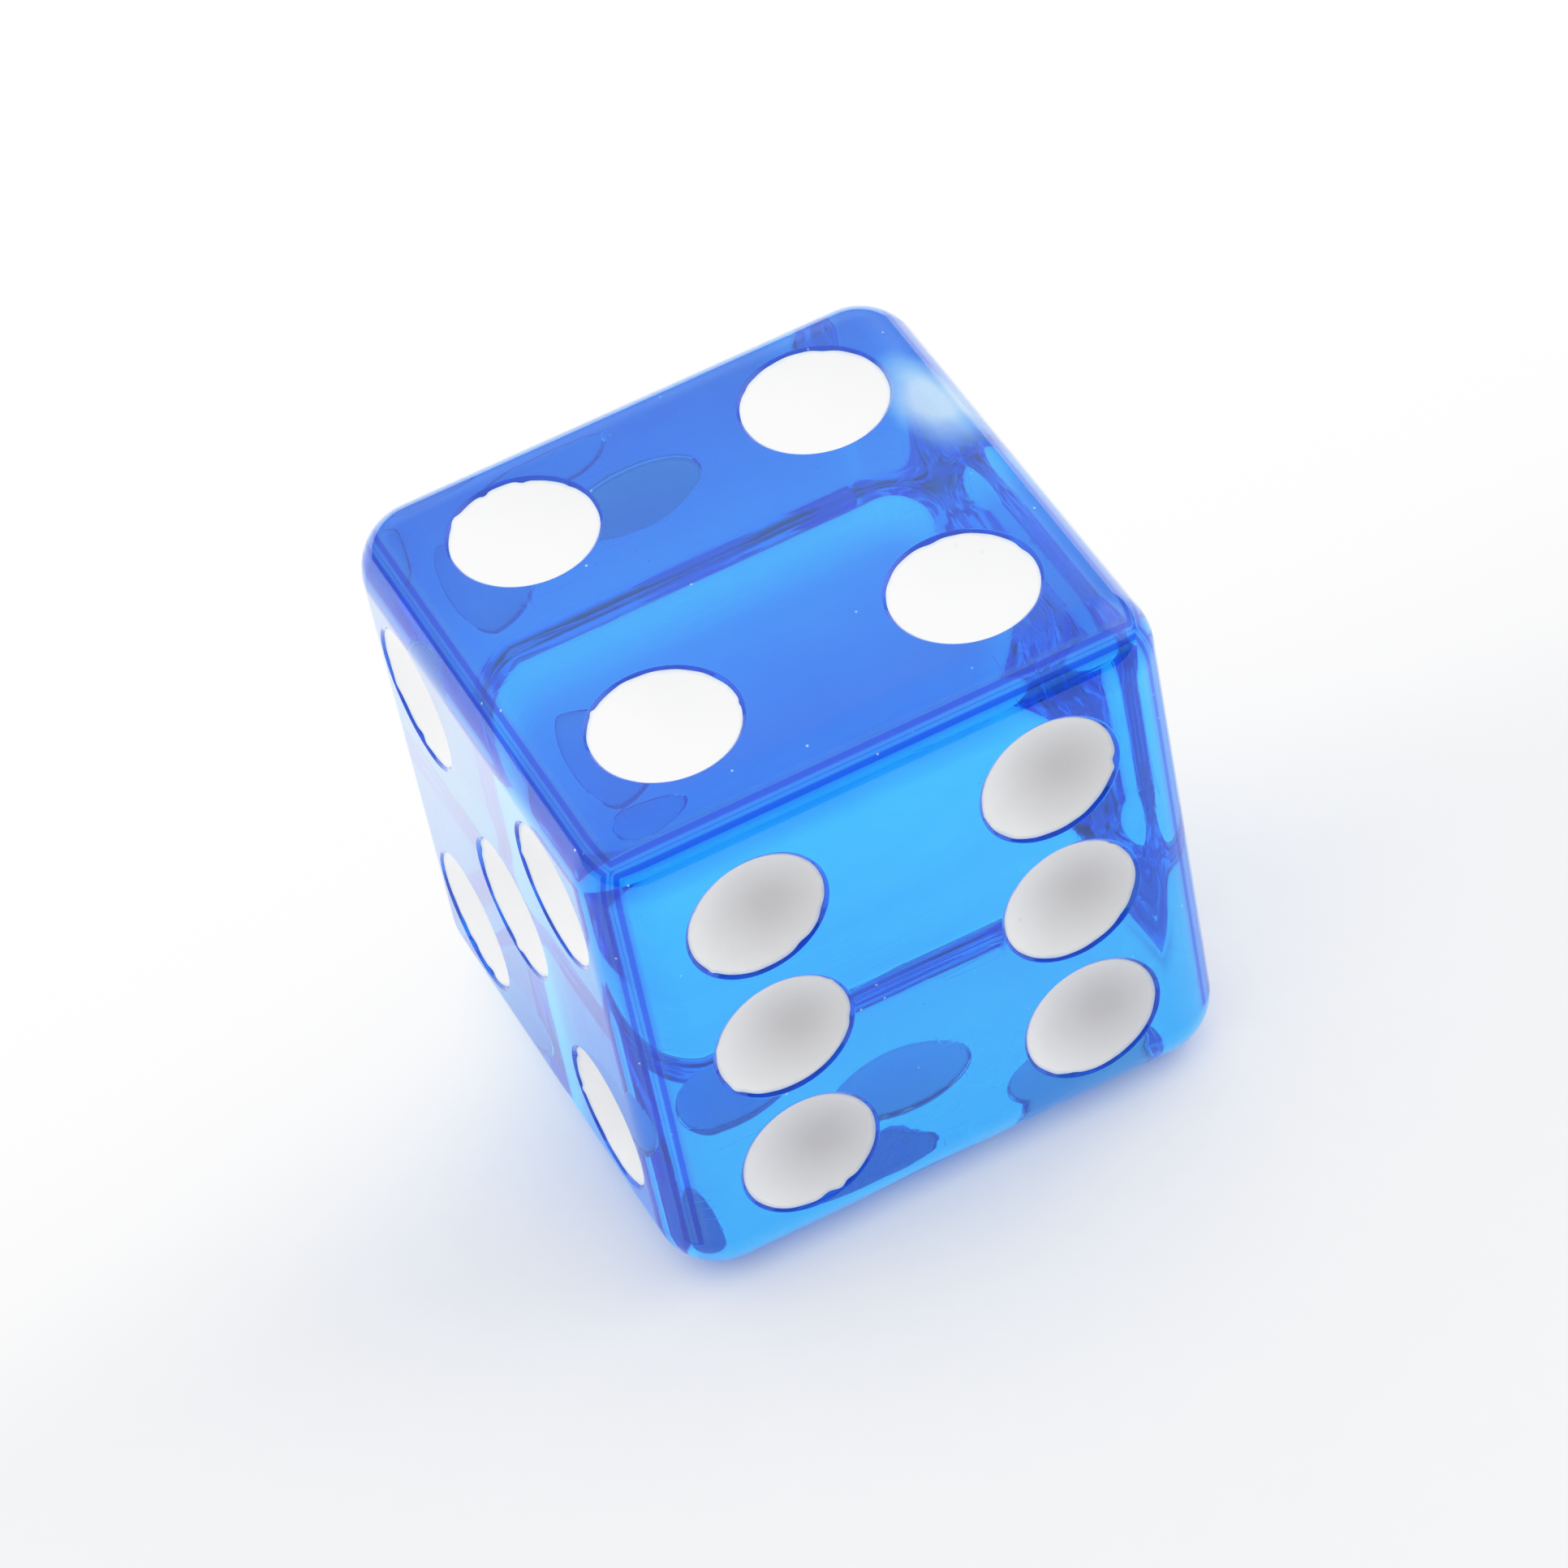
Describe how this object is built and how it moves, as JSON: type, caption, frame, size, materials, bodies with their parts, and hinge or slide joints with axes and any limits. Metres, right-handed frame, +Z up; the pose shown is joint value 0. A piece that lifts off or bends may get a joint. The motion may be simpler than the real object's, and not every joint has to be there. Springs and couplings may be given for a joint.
{
  "type": "casino die",
  "caption": "Translucent blue gaming die: a moulded cube with eased edges and rounded corners, its dished pips lined with white enamel.",
  "frame": {"origin": "centre of the square footprint on the resting face, the 3", "axes": "+Z up through the 4, -Y out of the front face, the 6, +X out of the right face, the 2; the 1 is at the back, +Y, and the 5 at the left, -X"},
  "size_m": [0.016, 0.016, 0.016],
  "materials": {
    "blue_acrylic": "clear transparent-tinted blue acrylic, polished",
    "white_enamel": "opaque white enamel paint, satin"
  },
  "bodies": {
    "root": {"die_block": "blue_acrylic", "pip_1_centre": "white_enamel", "pip_2_upper_back": "white_enamel", "pip_2_lower_front": "white_enamel", "pip_3_back_left": "white_enamel", "pip_3_centre": "white_enamel", "pip_3_front_right": "white_enamel", "pip_4_back_left": "white_enamel", "pip_4_back_right": "white_enamel", "pip_4_front_left": "white_enamel", "pip_4_front_right": "white_enamel", "pip_5_upper_back": "white_enamel", "pip_5_upper_front": "white_enamel", "pip_5_centre": "white_enamel", "pip_5_lower_back": "white_enamel", "pip_5_lower_front": "white_enamel", "pip_6_upper_left": "white_enamel", "pip_6_middle_left": "white_enamel", "pip_6_lower_left": "white_enamel", "pip_6_upper_right": "white_enamel", "pip_6_middle_right": "white_enamel", "pip_6_lower_right": "white_enamel"}
  },
  "joints": []
}
